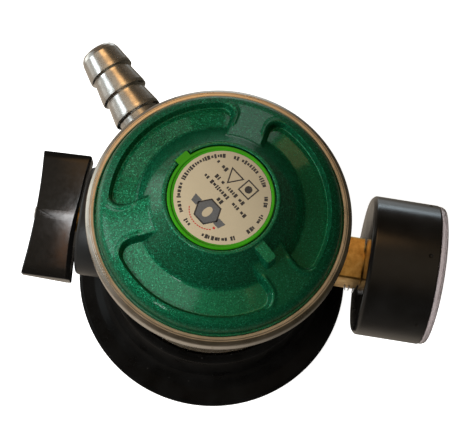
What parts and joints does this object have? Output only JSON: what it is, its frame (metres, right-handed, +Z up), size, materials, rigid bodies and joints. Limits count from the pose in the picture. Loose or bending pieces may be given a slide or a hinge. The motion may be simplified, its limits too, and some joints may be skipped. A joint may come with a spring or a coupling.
{
  "type": "gas pressure regulator",
  "caption": "Clip-on low pressure gas regulator with a round painted cover, wing shut-off knob, side inlet gauge, barbed hose nozzle and wide locking collar.",
  "frame": {"origin": "centre of the coupling's bottom plane, on the cylinder valve's axis", "axes": "+Z up along the valve's axis, +X along the gauge's axis towards its dial, -X along the knob's spindle"},
  "size_m": [0.1141, 0.0928, 0.0821],
  "materials": {
    "green_paint": "gloss metallic",
    "green_plug": "gloss",
    "label_film": "satin",
    "ring_steel": "satin",
    "zinc_casting": "fine cast",
    "bonnet_plastic": "matt moulded",
    "knob_plastic": "gloss",
    "collar_plastic": "satin",
    "brass": "machined",
    "sintered_bronze": "porous",
    "steel": "bright",
    "ball_steel": "polished",
    "spring_steel": "drawn",
    "seal_rubber": "matt",
    "gauge_black": "semi-gloss",
    "lens_clear": "clear",
    "dial_white": "matt",
    "needle_black": "matt",
    "ptfe": "waxy"
  },
  "bodies": {
    "housing": {"top_cover": "green_paint", "cover_plug": "green_plug", "rating_label": "label_film", "adjusting_screw": "brass", "main_spring": "spring_steel", "diaphragm": "seal_rubber", "crimp_ring": "ring_steel", "regulator_body": "zinc_casting", "spindle_gland": "brass", "spindle_o_ring": "seal_rubber", "spindle_bonnet": "bonnet_plastic", "bonnet_screws": "steel", "pin_spring": "spring_steel", "pin_guide": "brass", "inlet_filter": "sintered_bronze", "inlet_seal": "seal_rubber", "ball_cage": "zinc_casting", "collar_retainer": "spring_steel", "collar_spring": "spring_steel", "lever_pin": "steel", "inlet_orifice": "brass", "efv_seat": "brass", "efv_spring": "spring_steel", "gauge_socket": "brass", "thread_tape": "ptfe", "gauge_case": "gauge_black", "case_screws": "steel", "gauge_lens": "lens_clear", "gauge_dial": "dial_white", "dial_screws": "steel", "bourdon_tube": "brass", "movement_plates": "brass", "hairspring": "spring_steel"},
    "knob": {"knob": "knob_plastic", "knob_spindle": "brass", "knob_screw": "steel"},
    "opening_pin": {"opening_pin": "brass"},
    "collar": {"locking_collar": "collar_plastic"},
    "ball_1": {"locking_ball_1": "ball_steel"},
    "ball_2": {"locking_ball_2": "ball_steel"},
    "ball_3": {"locking_ball_3": "ball_steel"},
    "ball_4": {"locking_ball_4": "ball_steel"},
    "ball_5": {"locking_ball_5": "ball_steel"},
    "ball_6": {"locking_ball_6": "ball_steel"},
    "diaphragm_centre": {"diaphragm_plate": "steel", "diaphragm_stem": "brass"},
    "lever": {"lever": "steel"},
    "plunger": {"valve_plunger": "brass", "seat_pad": "seal_rubber"},
    "flow_stop": {"efv_poppet": "brass"},
    "tube_tip": {"tube_tip": "brass"},
    "sector": {"sector_gear": "brass"},
    "link": {"link": "brass"},
    "needle": {"pinion": "brass", "gauge_needle": "needle_black"}
  },
  "joints": [
    {"name": "knob_turn", "type": "hinge", "parent": "housing", "child": "knob", "pos_m": [-0.045, 0, 0.0398], "axis": [1, 0, 0], "range_deg": [0, 90]},
    {"name": "pin_press", "type": "slide", "parent": "housing", "child": "opening_pin", "axis": [0, 0, -1], "range_m": [0, 0.0031], "deforming": ["pin_spring"]},
    {"name": "collar_lift", "type": "slide", "parent": "housing", "child": "collar", "axis": [0, 0, 1], "range_m": [0, 0.0035], "deforming": ["collar_spring"]},
    {"name": "ball_1_release", "type": "slide", "parent": "housing", "child": "ball_1", "axis": [1, 0, 0], "range_m": [0, 0.0015]},
    {"name": "ball_2_release", "type": "slide", "parent": "housing", "child": "ball_2", "axis": [0.5, 0.866, 0], "range_m": [0, 0.0015]},
    {"name": "ball_3_release", "type": "slide", "parent": "housing", "child": "ball_3", "axis": [-0.5, 0.866, 0], "range_m": [0, 0.0015]},
    {"name": "ball_4_release", "type": "slide", "parent": "housing", "child": "ball_4", "axis": [-1, 0, 0], "range_m": [0, 0.0015]},
    {"name": "ball_5_release", "type": "slide", "parent": "housing", "child": "ball_5", "axis": [-0.5, -0.866, 0], "range_m": [0, 0.0015]},
    {"name": "ball_6_release", "type": "slide", "parent": "housing", "child": "ball_6", "axis": [0.5, -0.866, 0], "range_m": [0, 0.0015]},
    {"name": "diaphragm_lift", "type": "slide", "parent": "housing", "child": "diaphragm_centre", "axis": [0, 0, 1], "range_m": [0, 0.0016], "deforming": ["diaphragm", "main_spring"]},
    {"name": "lever_rock", "type": "hinge", "parent": "housing", "child": "lever", "pos_m": [-0.014, 0, 0.0624], "axis": [0, -1, 0], "range_deg": [0, 7]},
    {"name": "plunger_push", "type": "slide", "parent": "housing", "child": "plunger", "axis": [1, 0, 0], "range_m": [0, 0.00045]},
    {"name": "flow_stop_close", "type": "slide", "parent": "housing", "child": "flow_stop", "axis": [-0.6534, 0.757, 0], "range_m": [0, 0.0016], "deforming": ["efv_spring"]},
    {"name": "needle_turn", "type": "hinge", "parent": "housing", "child": "needle", "pos_m": [0.0602, 0, 0.0398], "axis": [-1, 0, 0], "range_deg": [0, 270], "deforming": ["hairspring"]},
    {"name": "sector_swing", "type": "hinge", "parent": "housing", "child": "sector", "pos_m": [0.0511, 0, 0.0318], "axis": [-1, 0, 0], "range_deg": [-39, 0]},
    {"name": "link_swing", "type": "hinge", "parent": "sector", "child": "link", "pos_m": [0.0523, 0.00321, 0.02733], "axis": [-1, 0, 0], "range_deg": [0, 39]},
    {"name": "tip_travel", "type": "slide", "parent": "housing", "child": "tube_tip", "axis": [0, 0.5736, 0.8192], "range_m": [0, 0.00363], "deforming": ["bourdon_tube"]}
  ],
  "couplings": [
    {"joint": "pin_press", "follows": "knob_turn", "m_per_rad": 0.0019099},
    {"joint": "ball_1_release", "follows": "collar_lift", "ratio": 0.4},
    {"joint": "ball_2_release", "follows": "collar_lift", "ratio": 0.4},
    {"joint": "ball_3_release", "follows": "collar_lift", "ratio": 0.4},
    {"joint": "ball_4_release", "follows": "collar_lift", "ratio": 0.4},
    {"joint": "ball_5_release", "follows": "collar_lift", "ratio": 0.4},
    {"joint": "ball_6_release", "follows": "collar_lift", "ratio": 0.4},
    {"joint": "lever_rock", "follows": "diaphragm_lift", "rad_per_m": 71.429},
    {"joint": "plunger_push", "follows": "diaphragm_lift", "ratio": 0.25714},
    {"joint": "sector_swing", "follows": "tip_travel", "rad_per_m": -185.3},
    {"joint": "link_swing", "follows": "tip_travel", "rad_per_m": 185.3},
    {"joint": "needle_turn", "follows": "tip_travel", "rad_per_m": 1297.1}
  ]
}
